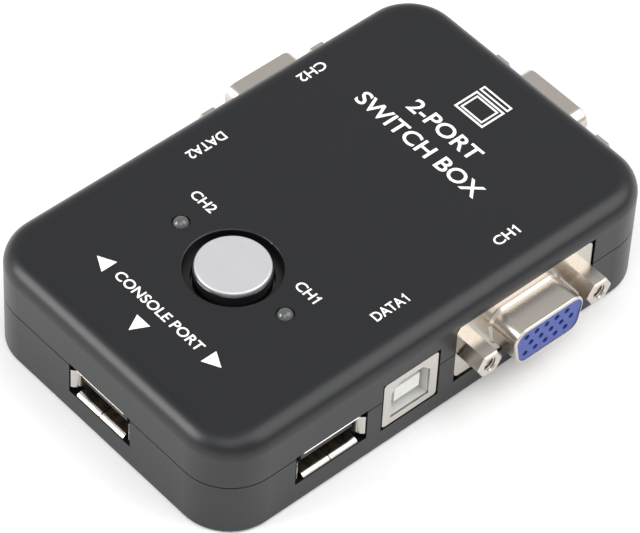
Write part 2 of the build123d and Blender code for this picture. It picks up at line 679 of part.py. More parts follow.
def make_usb_a_shell(face, name):
    """Folded sheet tube whose mouth bends out into four separate lips, with two legs through the board."""
    inner_width = USB_A_WIDTH / 2 - SHEET
    inner_height = USB_A_HEIGHT / 2 - SHEET
    mouth = USB_A_RECESS + lip_bend(inner_width, USB_A_LIP_WIDTH / 2)[1]
    upright = Plane(origin=face.origin, x_dir=face.z_dir, z_dir=-face.x_dir)
    level = Plane(origin=face.origin, x_dir=face.z_dir, z_dir=face.y_dir)
    long_lips = lip_profiles(upright, inner_height, USB_A_LIP_HEIGHT / 2, mouth + SHEET)
    short_lips = lip_profiles(level, inner_width, USB_A_LIP_WIDTH / 2, mouth + SHEET)
    with BuildPart() as shell:
        with BuildSketch(face.offset(-mouth)):
            Rectangle(USB_A_WIDTH, USB_A_HEIGHT)
            Rectangle(2 * inner_width, 2 * inner_height, mode=Mode.SUBTRACT)
        extrude(amount=-(USB_A_DEPTH - mouth))
        extrude(long_lips, amount=USB_A_LIP_LONG / 2, both=True)
        extrude(short_lips, amount=USB_A_LIP_SHORT / 2, both=True)
        with BuildSketch(face):
            with Locations((0, -USB_A_LIP_HEIGHT / 2)):
                Rectangle(USB_A_SEAM, USB_A_LIP_HEIGHT - 2 * inner_height)
        extrude(amount=-USB_A_SEAM_DEPTH, mode=Mode.SUBTRACT)
        with BuildSketch(face.offset(-USB_LEG_DEPTH + PEG_WIDTH / 2)):
            low = PIN_TIP_Z - USB_A_Z
            for side in (-1, 1):
                with Locations((side * (USB_A_WIDTH - SHEET) / 2, low / 2)):
                    Rectangle(SHEET, -low)
        extrude(amount=-PEG_WIDTH)
    write(shell.part, name)


def make_usb_a_contacts(face):
    """Four flat strips under the tongue with tails through the board."""
    front = USB_A_RECESS + USB_A_TONGUE_RECESS + USB_A_STRIP_RECESS
    up = USB_A_TONGUE_UP - USB_A_TONGUE_HEIGHT / 2 - STRIP / 2
    drop = PIN_TIP_Z - USB_A_Z
    with BuildPart() as contacts:
        with BuildSketch(face.offset(-front)):
            with Locations(*[(along, up) for along in USB_A_STRIPS]):
                Rectangle(2 * TAIL, STRIP)
        extrude(amount=-(USB_A_TAIL_DEPTH - front))
        with BuildSketch(face.offset(-USB_A_TAIL_DEPTH + STRIP / 2)):
            with Locations(*[(along, (up + STRIP / 2 + drop) / 2) for along in USB_A_STRIPS]):
                Rectangle(TAIL, up + STRIP / 2 - drop)
        extrude(amount=-STRIP)
    return contacts.part


def make_usb_a_insulator(face, contacts, name):
    """Plastic back block and tongue, with a foot behind the shell that stands on the board."""
    width = USB_A_WIDTH - 2 * (SHEET + FIT)
    height = USB_A_HEIGHT - 2 * (SHEET + FIT)
    foot_low = BOARD_TOP - USB_A_Z
    back = USB_A_RECESS + USB_A_CAVITY
    with BuildPart() as insulator:
        with BuildSketch(face.offset(-back)):
            Rectangle(width, height)
        extrude(amount=-(USB_A_DEPTH + FIT - back))
        with BuildSketch(face.offset(-USB_A_DEPTH - FIT)):
            with Locations((0, (height / 2 + foot_low) / 2)):
                Rectangle(width, height / 2 - foot_low)
        extrude(amount=-USB_A_FOOT_DEPTH)
        with BuildSketch(face.offset(-USB_A_RECESS - USB_A_TONGUE_RECESS)):
            with Locations((0, USB_A_TONGUE_UP)):
                Rectangle(USB_A_TONGUE_WIDTH, USB_A_TONGUE_HEIGHT)
        extrude(amount=-(back - USB_A_RECESS - USB_A_TONGUE_RECESS))
        add(contacts, mode=Mode.SUBTRACT)
    write(insulator.part, name)


def make_button_cap():
    """Black cap: a cup with a collar that holds it under the well's floor, and a hub for the stem."""
    collar_low = CASE_HEIGHT - WELL_DEPTH - WELL_FLOOR - CAP_REST_GAP - CAP_COLLAR_HEIGHT
    place = (0, BUTTON_Y)
    with BuildPart() as button_cap:
        with BuildSketch(Plane.XY.offset(CAP_BOTTOM)):
            with Locations(place):
                Circle(CAP_RADIUS)
        extrude(amount=CAP_TOP - CAP_BOTTOM)
        chamfer(button_cap.faces().sort_by(Axis.Z)[-1].edges(), CAP_CHAMFER)
        with BuildSketch(Plane.XY.offset(collar_low)):
            with Locations(place):
                Circle(CAP_COLLAR_RADIUS)
        extrude(amount=CAP_COLLAR_HEIGHT)
        with BuildSketch(Plane.XY.offset(CAP_BOTTOM)):
            with Locations(place):
                Circle(CAP_RADIUS - CAP_WALL)
                Circle(CAP_HUB_RADIUS, mode=Mode.SUBTRACT)
        extrude(amount=CAP_TOP - CAP_ROOF - CAP_BOTTOM, mode=Mode.SUBTRACT)
        with BuildSketch(Plane.XY.offset(CAP_TOP)):
            with Locations(place):
                Circle(DISC_RADIUS + FIT)
        extrude(amount=-(DISC_THICKNESS - DISC_PROUD), mode=Mode.SUBTRACT)
        with BuildSketch(Plane.XY.offset(CAP_BOTTOM)):
            with Locations(place):
                Rectangle(STEM_SIZE + 2 * STEM_FIT, STEM_SIZE + 2 * STEM_FIT)
        extrude(amount=STEM_TOP - CAP_BOTTOM + STEM_FIT, mode=Mode.SUBTRACT)
    write(button_cap.part, "button_cap")


def make_button_disc():
    """Thin silver disc set into the top of the cap, with a rounded rim."""
    with BuildPart() as button_disc:
        with BuildSketch(Plane.XY.offset(CAP_TOP + DISC_PROUD - DISC_THICKNESS)):
            with Locations((0, BUTTON_Y)):
                Circle(DISC_RADIUS)
        extrude(amount=DISC_THICKNESS)
        fillet(button_disc.edges().group_by(Axis.Z)[-1], DISC_ROUND)
    write(button_disc.part, "button_disc")


def make_switch_stem():
    """Square plunger with a wide foot that is bored for the return spring."""
    with BuildPart() as switch_stem:
        with BuildSketch(Plane.XY.offset(STEM_FOOT_LOW)):
            with Locations((0, BUTTON_Y)):
                RectangleRounded(STEM_FOOT_SIZE, STEM_FOOT_SIZE, STEM_FOOT_ROUND)
        extrude(amount=STEM_FOOT_HIGH - STEM_FOOT_LOW)
        with BuildSketch(Plane.XY.offset(STEM_FOOT_HIGH)):
            with Locations((0, BUTTON_Y)):
                Rectangle(STEM_SIZE, STEM_SIZE)
        extrude(amount=STEM_TOP - STEM_FOOT_HIGH)
        chamfer(switch_stem.faces().sort_by(Axis.Z)[-1].edges(), STEM_CHAMFER)
        with BuildSketch(Plane.XY.offset(STEM_FOOT_LOW)):
            with Locations((0, BUTTON_Y)):
                Circle(SPRING_RADIUS + 2 * SPRING_WIRE)
        extrude(amount=SPRING_TOP - STEM_FOOT_LOW, mode=Mode.SUBTRACT)
    write(switch_stem.part, "switch_stem")


def make_switch_spring():
    """Round-wire compression spring between the switch's floor and the plunger."""
    low = BOARD_TOP + SWITCH_FLOOR + SPRING_WIRE + SPRING_END_GAP
    height = SPRING_TOP - SPRING_WIRE - SPRING_END_GAP - low
    with BuildPart() as switch_spring:
        with BuildLine(Plane((0, BUTTON_Y, low))) as coil:
            Helix(pitch=height / SPRING_TURNS, height=height, radius=SPRING_RADIUS)
        with BuildSketch(Plane(coil.line @ 0, z_dir=coil.line % 0)):
            Circle(SPRING_WIRE)
        sweep(path=coil.line, is_frenet=True)
    write(switch_spring.part, "switch_spring")


def make_switch_housing():
    """Square plastic body of the switch, open at the top."""
    with BuildPart() as switch_housing:
        with BuildSketch(Plane.XY.offset(BOARD_TOP)):
            with Locations((0, BUTTON_Y)):
                Rectangle(SWITCH_SIZE, SWITCH_SIZE)
        extrude(amount=SWITCH_HEIGHT)
        with BuildSketch(Plane.XY.offset(BOARD_TOP + SWITCH_FLOOR)):
            with Locations((0, BUTTON_Y)):
                Rectangle(SWITCH_CAVITY, SWITCH_CAVITY)
        extrude(amount=SWITCH_HEIGHT, mode=Mode.SUBTRACT)
    write(switch_housing.part, "switch_housing")


def make_switch_frame():
    """Sheet-metal lid of the switch, folded down two of its sides."""
    top = BOARD_TOP + SWITCH_HEIGHT
    with BuildPart() as switch_frame:
        with BuildSketch(Plane.XY.offset(top)):
            with Locations((0, BUTTON_Y)):
                Rectangle(SWITCH_SIZE + 2 * FRAME_SHEET, SWITCH_SIZE)
                Rectangle(STEM_WINDOW, STEM_WINDOW, mode=Mode.SUBTRACT)
        extrude(amount=FRAME_SHEET)
        with BuildSketch(Plane.XY.offset(top)):
            with Locations((0, BUTTON_Y)):
                with GridLocations(SWITCH_SIZE + FRAME_SHEET, 0, 2, 1):
                    Rectangle(FRAME_SHEET, SWITCH_SIZE - 2)
        extrude(amount=-FRAME_EAR)
    write(switch_frame.part, "switch_frame")


def make_switch_pins():
    """Six flat pins under the switch, through the board."""
    with BuildPart() as switch_pins:
        with BuildSketch(Plane.XY.offset(BOARD_TOP)):
            with Locations((0, BUTTON_Y)):
                with GridLocations(SWITCH_PIN_ROWS, SWITCH_PIN_PITCH, 2, 3):
                    Rectangle(SWITCH_PIN_THICKNESS, SWITCH_PIN_WIDTH)
        extrude(amount=PIN_TIP_Z - BOARD_TOP)
    write(switch_pins.part, "switch_pins")


def make_led_leads(x):
    """Two leads: one ends in the wide anvil that carries the die, the other in a thin post."""
    with BuildPart() as leads:
        with BuildSketch(Plane.XY.offset(PIN_TIP_Z)):
            with Locations((x - LED_PITCH / 2, LED_Y), (x + LED_PITCH / 2, LED_Y)):
                Rectangle(LED_LEAD, LED_LEAD)
        extrude(amount=LED_BASE - PIN_TIP_Z)
        with BuildSketch(Plane.XY.offset(LED_BASE)):
            with Locations((x - LED_PITCH / 2 + 0.2, LED_Y), (x + LED_PITCH / 2 - 0.2, LED_Y)):
                Rectangle(LED_LEAD + 0.1, LED_LEAD)
        extrude(amount=LED_NECK_Z - LED_BASE)
        with BuildSketch(Plane.XY.offset(LED_NECK_Z)):
            for shift, width in (LED_ANVIL, LED_POST):
                with Locations((x + shift, LED_Y)):
                    Rectangle(width, LED_LEAD)
        extrude(amount=LED_HEAD_Z - LED_NECK_Z)
    return leads.part


def make_led_lens(x, leads, name):
    """Clear moulded body of a 3 mm lamp: a flange, a straight barrel and a round dome."""
    with BuildPart() as lens:
        with BuildSketch(Plane.XZ.offset(-LED_Y)):
            with BuildLine():
                barrel_top = LED_TOP - LED_RADIUS
                Polyline(
                    (x, LED_TOP),
                    (x, LED_BASE),
                    (x + LED_FLANGE_RADIUS, LED_BASE),
                    (x + LED_FLANGE_RADIUS, LED_BASE + LED_FLANGE_HEIGHT),
                    (x + LED_RADIUS, LED_BASE + LED_FLANGE_HEIGHT),
                    (x + LED_RADIUS, barrel_top),
                )
                RadiusArc((x + LED_RADIUS, barrel_top), (x, LED_TOP), -LED_RADIUS)
            make_face()
        revolve(axis=Axis((x, LED_Y, 0), (0, 0, 1)))
        add(leads, mode=Mode.SUBTRACT)
    write(lens.part, name)


def make_small_chips(places, rows, name):
    """Sixteen-lead switch chips: moulded bodies and, in a second piece, their bent leads."""
    length = 9.9
    width = 3.9
    with BuildPart() as bodies:
        with BuildSketch(Plane.XY.offset(BOARD_TOP + CHIP_STANDOFF)):
            with Locations(*places):
                Rectangle(width, length)
        extrude(amount=1.5)
        chamfer(bodies.edges().group_by(Axis.Z)[-1], 0.2)
    write(bodies.part, f"{name}_bodies")
    shoulder = BOARD_TOP + 0.8
    span = width + 2 * 0.35
    with BuildPart() as leads:
        with BuildSketch(Plane.XY.offset(BOARD_TOP)):
            with Locations(*places):
                with GridLocations(span + 0.9, CHIP_LEAD_PITCH, 2, rows):
                    Rectangle(0.7, CHIP_LEAD)
        extrude(amount=0.2)
        with BuildSketch(Plane.XY.offset(BOARD_TOP)):
            with Locations(*places):
                with GridLocations(span + 0.1, CHIP_LEAD_PITCH, 2, rows):
                    Rectangle(0.2, CHIP_LEAD)
        extrude(amount=shoulder + 0.2 - BOARD_TOP)
        with BuildSketch(Plane.XY.offset(shoulder)):
            with Locations(*places):
                with GridLocations(width + 0.35, CHIP_LEAD_PITCH, 2, rows):
                    Rectangle(0.35, CHIP_LEAD)
        extrude(amount=0.2)
    write(leads.part, f"{name}_leads")


def make_hub_controller(x, y):
    """Square controller chip with leads on all four sides."""
    size = 7.0
    count = 12
    pitch = 0.5
    with BuildPart() as body:
        with BuildSketch(Plane.XY.offset(BOARD_TOP + CHIP_STANDOFF)):
            with Locations((x, y)):
                Rectangle(size, size)
        extrude(amount=1.4)
        chamfer(body.edges().group_by(Axis.Z)[-1], 0.2)
    write(body.part, "hub_controller_body")
    with BuildPart() as leads:
        with BuildSketch(Plane.XY.offset(BOARD_TOP)):
            with Locations((x, y)):
                with GridLocations(size + 1.0, pitch, 2, count):
                    Rectangle(1.0, 0.22)
                with GridLocations(pitch, size + 1.0, count, 2):
                    Rectangle(0.22, 1.0)
        extrude(amount=CHIP_STANDOFF)
        with BuildSketch(Plane.XY.offset(BOARD_TOP)):
            with Locations((x, y)):
                with GridLocations(size + 0.15, pitch, 2, count):
                    Rectangle(0.15, 0.22)
                with GridLocations(pitch, size + 0.15, count, 2):
                    Rectangle(0.22, 0.15)
        extrude(amount=0.9)
    write(leads.part, "hub_controller_leads")


def make_crystal(x, y):
    """Quartz crystal in a flat oval can."""
    with BuildPart() as crystal:
        with BuildSketch(Plane.XY.offset(BOARD_TOP)):
            with Locations((x, y)):
                SlotOverall(10.5, 4.4, rotation=90)
        extrude(amount=3.5)
        fillet(crystal.edges().group_by(Axis.Z)[-1], 0.5)
    write(crystal.part, "crystal")


def make_electrolytic_capacitors(places):
    """Round aluminium capacitors standing on the board."""
    with BuildPart() as electrolytic_capacitors:
        with BuildSketch(Plane.XY.offset(BOARD_TOP)):
            with Locations(*places):
                Circle(2.5)
        extrude(amount=7.0)
        fillet(electrolytic_capacitors.edges().group_by(Axis.Z)[-1], 0.4)
    write(electrolytic_capacitors.part, "electrolytic_capacitors")


def make_small_blocks(places, size, name):
    """Identical surface-mounted blocks, such as chip resistors or chip capacitors."""
    length, width, height = size
    with BuildPart() as blocks:
        with BuildSketch(Plane.XY.offset(BOARD_TOP)):
            with Locations(*places):
                Rectangle(length, width)
        extrude(amount=height)
    write(blocks.part, name)


sockets = socket_openings()
make_top_cover(sockets)
make_bottom_cover(sockets)
make_case_screws()
make_circuit_board()

for place, wall in VGA_FACES.items():
    make_vga_shell(wall, f"vga_{place}_shell")
    make_vga_insulator(wall, f"vga_{place}_insulator")
    make_vga_housing(wall, f"vga_{place}_housing")
    make_vga_contacts(wall, f"vga_{place}_contacts")
    make_vga_brackets(wall, f"vga_{place}_brackets")
    make_vga_jackscrews(wall, f"vga_{place}_jackscrews")

for place, wall in USB_B_FACES.items():
    strips = make_usb_b_contacts(wall)
    make_usb_b_shell(wall, f"usb_b_{place}_shell")
    make_usb_b_insulator(wall, strips, f"usb_b_{place}_insulator")
    write(strips, f"usb_b_{place}_contacts")

for place, wall in USB_A_FACES.items():
    strips = make_usb_a_contacts(wall)
    make_usb_a_shell(wall, f"usb_a_{place}_shell")
    make_usb_a_insulator(wall, strips, f"usb_a_{place}_insulator")
    write(strips, f"usb_a_{place}_contacts")

make_button_cap()
make_button_disc()
make_switch_stem()
make_switch_spring()
make_switch_housing()
make_switch_frame()
make_switch_pins()

for place, lamp_x in (("left", -LED_X), ("right", LED_X)):
    led_leads = make_led_leads(lamp_x)
    make_led_lens(lamp_x, led_leads, f"led_{place}_lens")
    write(led_leads, f"led_{place}_leads")

make_small_chips([(-8.5, 13.5), (0, 13.5), (8.5, 13.5)], 8, "video_switch")
make_small_chips([(0, 27.0)], 8, "usb_switch")
make_hub_controller(0, -3.0)
make_crystal(-9.0, -4.0)
make_electrolytic_capacitors([(-9.0, 27.5), (9.0, 27.5), (-10.0, -34.0)])
capacitor_places = [(x, y) for x in (-11.0, 11.0) for y in (4.0, 5.8, 20.5, 22.3)]
make_small_blocks(capacitor_places, (2.0, 1.2, 0.9), "chip_capacitors")
resistor_places = [(x, y) for x in (-4.5, -1.5, 1.5, 4.5) for y in (4.5, 6.0, 20.5)]
make_small_blocks(resistor_places, (1.6, 0.8, 0.5), "chip_resistors")
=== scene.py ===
import math
from typing import NamedTuple

import bmesh
import bpy
from bpy.props import FloatProperty, FloatVectorProperty, PointerProperty, StringProperty
from mathutils import Matrix, Vector


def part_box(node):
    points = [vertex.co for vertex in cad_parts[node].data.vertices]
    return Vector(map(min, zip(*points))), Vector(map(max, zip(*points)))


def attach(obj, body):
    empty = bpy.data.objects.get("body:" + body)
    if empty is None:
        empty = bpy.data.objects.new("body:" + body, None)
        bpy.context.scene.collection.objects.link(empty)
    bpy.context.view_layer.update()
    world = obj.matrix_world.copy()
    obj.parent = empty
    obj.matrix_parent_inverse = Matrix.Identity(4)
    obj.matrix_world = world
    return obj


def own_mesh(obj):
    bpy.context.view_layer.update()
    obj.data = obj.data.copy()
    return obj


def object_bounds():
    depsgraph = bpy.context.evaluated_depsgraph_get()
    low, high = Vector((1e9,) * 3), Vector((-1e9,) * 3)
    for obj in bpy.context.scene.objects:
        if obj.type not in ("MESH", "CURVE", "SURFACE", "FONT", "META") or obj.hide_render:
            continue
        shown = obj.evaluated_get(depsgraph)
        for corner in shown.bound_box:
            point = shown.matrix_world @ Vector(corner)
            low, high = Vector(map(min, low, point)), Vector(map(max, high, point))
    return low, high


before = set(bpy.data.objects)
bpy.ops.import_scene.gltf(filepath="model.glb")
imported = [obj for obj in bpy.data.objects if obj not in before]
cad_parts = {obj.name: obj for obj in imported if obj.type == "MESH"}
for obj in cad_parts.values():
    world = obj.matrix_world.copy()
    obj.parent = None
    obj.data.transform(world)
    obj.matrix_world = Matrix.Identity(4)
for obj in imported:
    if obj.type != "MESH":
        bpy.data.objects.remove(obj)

bl_info = {
    "name": "Selector Box Finish",
    "version": (1, 0, 0),
    "blender": (4, 5, 0),
    "location": "3D View > Sidebar > Selector Box",
    "description": "Finishes, printing and studio for a two-computer selector box",
    "category": "Object",
}

MM = 0.001
MICRON = 0.001 * MM
QUARTER_TURN = math.pi / 2
CAD_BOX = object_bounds()
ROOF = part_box("top_cover")[1].z
SIDES = ("right", "left", "rear")
OUTLETS = ("right", "left", "front")
LAMPS = ("left", "right")

# The Mix node's colour sockets, which share their names with its other kinds.
MIX_FIRST = 6
MIX_SECOND = 7
MIX_RESULT = 2


# ---------------------------------------------------------------- printing


class Legend(NamedTuple):
    """Centre and width of a line of lettering on the roof in millimetres, and the way it is turned."""

    x: float
    y: float
    width: float
    turn: float = 0.0


INK_THICKNESS = 20 * MICRON
INK_BEDDING = 10 * MICRON
JOIN_DISTANCE = 0.5 * MICRON

# Shares of the cap height, and the steps in each curve of a letter.
LETTER_GAP = 0.17
LETTER_WEIGHT = 0.014
LETTER_STEPS = 4

HEADING = Legend(-0.8, 27.9, 16.5)
TITLE = Legend(-1.1, 22.3, 29.9)
CONSOLE = Legend(-0.5, -35.5, 21.2)
BY_LAMPS = {"2": Legend(-14.2, -14.3, 5.4), "1": Legend(11.9, -14.25, 5.0)}
BY_VIDEO = {"2": Legend(-25.4, 19.6, 5.9, -QUARTER_TURN), "1": Legend(23.4, 19.4, 5.2, QUARTER_TURN)}
BY_DATA = {"2": Legend(-23.7, -5.6, 8.0, -QUARTER_TURN), "1": Legend(22.9, -6.1, 7.3, QUARTER_TURN)}
ARROWS_CENTRE = Vector((-0.5 * MM, -35.65 * MM, ROOF - INK_BEDDING))
ARROW_SPACING = 13.55 * MM
ARROW_DROP = 4.2 * MM
ARROW_RADIUS_SHARE = 0.667
ARROW_SQUEEZE = Vector((1.0, 0.9, 1.0))
SIGN_CENTRE = Vector((-0.6 * MM, 35.7 * MM))
SIGN_BAR_RISE = Vector((0.0, 3.85 * MM))
SIGN_FRAME = (7.0 * MM, 5.4 * MM)
SIGN_PANE = (5.3 * MM, 4.0 * MM)
SIGN_BAR = (7.0 * MM, 1.3 * MM)
SIGN_THICK_LINE = 0.4 * MM
SIGN_THIN_LINE = 0.35 * MM

# ---------------------------------------------------------------- threads of the jackscrews

THREAD_RADIUS = 1.25 * MM
THREAD_RIDGE = 0.16 * MM
THREAD_DEPTH = 4.2 * MM
THREAD_START = 0.25 * MM
THREAD_TURNS = {
    "right": Vector((0.0, -QUARTER_TURN, 0.0)),
    "left": Vector((0.0, QUARTER_TURN, 0.0)),
    "rear": Vector((QUARTER_TURN, 0.0, 0.0)),
}

# ---------------------------------------------------------------- colours of the inner parts

SWITCH_WHITE = (0.7, 0.7, 0.66)
SWITCH_BLACK = (0.02, 0.02, 0.02)
SWITCH_TIN = (0.72, 0.7, 0.66)
SPRING_STEEL = (0.55, 0.55, 0.57)
LAMP_LEAD = (0.8, 0.79, 0.76)
HOUSING_BLACK = (0.02, 0.02, 0.022)
CHIP_LEAD = (0.75, 0.74, 0.72)
ALUMINIUM = (0.75, 0.75, 0.76)
CERAMIC_TAN = (0.45, 0.3, 0.17)
RESISTOR_BLACK = (0.03, 0.03, 0.035)

# ---------------------------------------------------------------- stage


class Softbox(NamedTuple):
    """Where a square light hangs, in metres, and the length of its side."""

    x: float
    y: float
    z: float
    side: float


LEFT_BOX = Softbox(-0.56, -0.90, 0.57, 0.7)
RIGHT_BOX = Softbox(0.53, 0.56, 0.92, 1.15)
TOP_BOX = Softbox(0.50, -0.55, 1.1, 0.9)
LIGHT_AIM = Vector((0.0, 0.0, 0.01))
FLOOR_REACH = 4.0
FLOOR_GAP = 0.02 * MM

# The camera looks from this far round and this far up, from its distance, at its aim.
EYE_AROUND = math.radians(46.01)
EYE_ABOVE = math.radians(48.20)
EYE_ROLL = math.radians(3.32)
EYE_AIM = Vector((1.69, -1.98, 10.75)) * MM
EYE_DISTANCE = 719.5 * MM
SENSOR_WIDTH = 36.0
NEAREST_SEEN = 0.01
FARTHEST_SEEN = 20.0


# ---------------------------------------------------------------- node trees


class Value:
    """One output of a node tree that can be used in Python sums."""

    def __init__(self, graph, socket):
        self.graph = graph
        self.socket = socket

    def math(self, operation, *terms):
        return self.graph.node("ShaderNodeMath", {"operation": operation}, dict(enumerate(terms)))

    def __add__(self, other):
        return self.math("ADD", self, other)

    def __radd__(self, other):
        return self.math("ADD", other, self)

    def __sub__(self, other):
        return self.math("SUBTRACT", self, other)

    def __rsub__(self, other):
        return self.math("SUBTRACT", other, self)

    def __mul__(self, other):
        return self.math("MULTIPLY", self, other)

    def __rmul__(self, other):
        return self.math("MULTIPLY", other, self)

    def __abs__(self):
        return self.math("ABSOLUTE", self)


class Graph:
    """Fills a node tree: each call makes one node, sets it and feeds it."""

    def __init__(self, tree):
        self.tree = tree

    def feed(self, socket, value):
        if isinstance(value, Value):
            self.tree.links.new(value.socket, socket)
        else:
            socket.default_value = value

    def node(self, kind, settings=None, inputs=None, output=0):
        made = self.tree.nodes.new(kind)
        for name, setting in (settings or {}).items():
            setattr(made, name, setting)
        for key, value in (inputs or {}).items():
            self.feed(made.inputs[key], value)
        return Value(self, made.outputs[output]) if len(made.outputs) else None

    def place_in_millimetres(self):
        spot = self.node("ShaderNodeTexCoord", output="Object")
        return self.node("ShaderNodeVectorMath", {"operation": "SCALE"}, {0: spot, "Scale": 1 / MM})

    def noise(self, place, frequency, detail=2.0, stretch=None):
        """Cloudy noise with so many cells to the millimetre, squeezed along each axis by stretch."""
        if stretch:
            place = self.node("ShaderNodeVectorMath", {"operation": "MULTIPLY"}, {0: place, 1: stretch})
        return self.node("ShaderNodeTexNoise", None, {"Vector": place, "Scale": frequency, "Detail": detail})

    def cells(self, place, frequency):
        """Distance to the nearest of points strewn so many to the millimetre."""
        return self.node("ShaderNodeTexVoronoi", None, {"Vector": place, "Scale": frequency})

    def blend(self, share, first, second):
        pair = {"Factor": share, MIX_FIRST: (*first, 1), MIX_SECOND: (*second, 1)}
        return self.node("ShaderNodeMix", {"data_type": "RGBA", "clamp_factor": True}, pair, MIX_RESULT)

    def relief(self, height, depth):
        return self.node("ShaderNodeBump", None, {"Height": height, "Distance": depth, "Strength": 1.0})


def make_finish(name, constants, paint):
    """A material: constants go on the shader's own sockets, and paint gives what changes over the surface."""
    material = bpy.data.materials.new(name)
    material.use_nodes = True
    shader = material.node_tree.nodes["Principled BSDF"]
    for label, value in constants.items():
        shader.inputs[label].default_value = value
    graph = Graph(material.node_tree)
    for label, value in paint(graph).items():
        graph.feed(shader.inputs[label], value)
    return material


def shade(colour, gain):
    return tuple(min(1.0, channel * gain) for channel in colour)


# ---------------------------------------------------------------- finishes
#
# Each finish takes its patterns from noise, given as cells to the millimetre and then detail. Shares of the
# patterns tint the colour, change the roughness a little and stand up from the surface by a few microns.


def moulded_plastic(name, colour, roughness):
    """Injection-moulded plastic with a fine spark-eroded grain and faint flow marks."""
    def paint(graph):
        place = graph.place_in_millimetres()
        fine = graph.noise(place, 5.5, 3.0)
        flow = graph.noise(place, 0.07, 2.0, (1.0, 0.45, 1.0))
        rub = graph.noise(place, 0.6, 5.0)
        return {
            "Base Color": graph.blend(flow * 0.7 + rub * 0.3, shade(colour, 0.86), shade(colour, 1.16)),
            "Roughness": roughness - 0.05 + flow * 0.05 + rub * 0.03 + fine * 0.02,
            "Normal": graph.relief(fine, 6 * MICRON),
        }
    return make_finish(name, {"Specular IOR Level": 0.5}, paint)


def gloss_plastic(name, colour):
    """Polished mould finish with faint haze and hairlines."""
    def paint(graph):
        place = graph.place_in_millimetres()
        haze = graph.noise(place, 0.5, 3.0)
        hairs = graph.noise(place, 3.0, 2.0, (1.0, 9.0, 1.0))
        return {
            "Base Color": graph.blend(haze, shade(colour, 0.9), shade(colour, 1.2)),
            "Roughness": 0.16 + haze * 0.06 + hairs * 0.04,
            "Normal": graph.relief(hairs, 1.5 * MICRON),
        }
    return make_finish(name, {"Coat Weight": 0.3, "Coat Roughness": 0.1}, paint)


def metallic_paint(name, colour):
    """Silver lacquer with fine flake over a smooth moulding."""
    def paint(graph):
        place = graph.place_in_millimetres()
        flake = graph.cells(place, 9.0)
        cloud = graph.noise(place, 0.25, 3.0)
        return {
            "Base Color": graph.blend(flake * 0.5 + cloud * 0.5, shade(colour, 0.93), shade(colour, 1.05)),
            "Roughness": 0.36 + cloud * 0.06 + flake * 0.04,
            "Metallic": 0.5 + flake * 0.2,
            "Normal": graph.relief(flake, 2 * MICRON),
        }
    return make_finish(name, {"Coat Weight": 0.2, "Coat Roughness": 0.2}, paint)


def plated_metal(name, colour, roughness, drawn=(1.0, 1.0, 12.0), tarnish=0.22):
    """Plated sheet with drawing lines, a mottled tarnish and fine pits."""
    def paint(graph):
        place = graph.place_in_millimetres()
        lines = graph.noise(place, 1.6, 4.0, drawn)
        mottle = graph.noise(place, 0.55, 5.0)
        pits = graph.noise(place, 7.0, 2.0)
        return {
            "Base Color": graph.blend(mottle * tarnish + lines * 0.1, colour, shade(colour, 0.74)),
            "Roughness": roughness + mottle * 0.05 + lines * 0.04 - 0.02,
            "Normal": graph.relief(lines * 0.6 + pits * 0.4, 1.2 * MICRON),
        }
    return make_finish(name, {"Metallic": 1.0}, paint)


def turned_metal(name, colour, roughness):
    """Bar stock with fine turning marks and plating bloom."""
    def paint(graph):
        place = graph.place_in_millimetres()
        marks = graph.noise(place, 6.0, 2.0, (7.0, 7.0, 1.0))
        bloom = graph.noise(place, 0.9, 4.0)
        return {
            "Base Color": graph.blend(bloom * 0.5, colour, shade(colour, 0.75)),
            "Roughness": roughness + bloom * 0.06 + marks * 0.03,
            "Normal": graph.relief(marks, 1.2 * MICRON),
        }
    return make_finish(name, {"Metallic": 1.0}, paint)


def laminate(name, colour):
    """Solder resist over copper: dark tracks, weave of the glass cloth and a slight orange peel."""
    def paint(graph):
        place = graph.place_in_millimetres()
        weave = graph.node(
            "ShaderNodeTexWave", {"bands_direction": "DIAGONAL"}, {"Vector": place, "Scale": 0.8})
        tracks = graph.noise(place, 0.35, 1.0, (1.0, 3.0, 1.0))
        peel = graph.noise(place, 2.5, 3.0)
        copper = tracks.math("GREATER_THAN", tracks, 0.52)
        return {
            "Base Color": graph.blend(copper * 0.7 + weave * 0.15, shade(colour, 0.75), shade(colour, 1.7)),
            "Roughness": 0.28 + peel * 0.1,
            "Normal": graph.relief(peel + copper, 20 * MICRON),
        }
    return make_finish(name, {"Coat Weight": 0.35, "Coat Roughness": 0.15}, paint)


def moulded_clear(name, tint, clearness):
    """Clear epoxy with a milky body and slight swirl in its surface."""
    def paint(graph):
        place = graph.place_in_millimetres()
        swirl = graph.noise(place, 0.8, 2.0)
        cloud = graph.noise(place, 1.6, 3.0)
        return {
            "Base Color": graph.blend(cloud, shade(tint, 0.5), tint),
            "Roughness": 0.06 + swirl * 0.08,
            "Normal": graph.relief(swirl, 25 * MICRON),
        }
    return make_finish(name, {"Transmission Weight": clearness, "IOR": 1.52, "Coat Weight": 0.5}, paint)


def screen_ink(name, colour):
    """Screen-printed ink: slightly chalky, a little thin at the pinholes."""
    def paint(graph):
        place = graph.place_in_millimetres()
        chalk = graph.noise(place, 2.2, 4.0)
        pinholes = graph.noise(place, 9.0, 1.0)
        return {
            "Base Color": graph.blend(chalk * 0.6 + pinholes * 0.4, shade(colour, 0.9), colour),
            "Roughness": 0.5 + chalk * 0.15,
            "Normal": graph.relief(pinholes, 4 * MICRON),
        }
    return make_finish(name, {"Specular IOR Level": 0.4}, paint)


def seamless_paper(name, colour):
    """Matt backdrop paper with a barely visible tooth."""
    def paint(graph):
        place = graph.place_in_millimetres()
        tooth = graph.noise(place, 0.9, 3.0)
        return {
            "Base Color": graph.blend(tooth, shade(colour, 0.985), colour),
            "Roughness": 0.85 + tooth * 0.1,
            "Normal": graph.relief(tooth, 30 * MICRON),
        }
    return make_finish(name, {"Specular IOR Level": 0.15}, paint)


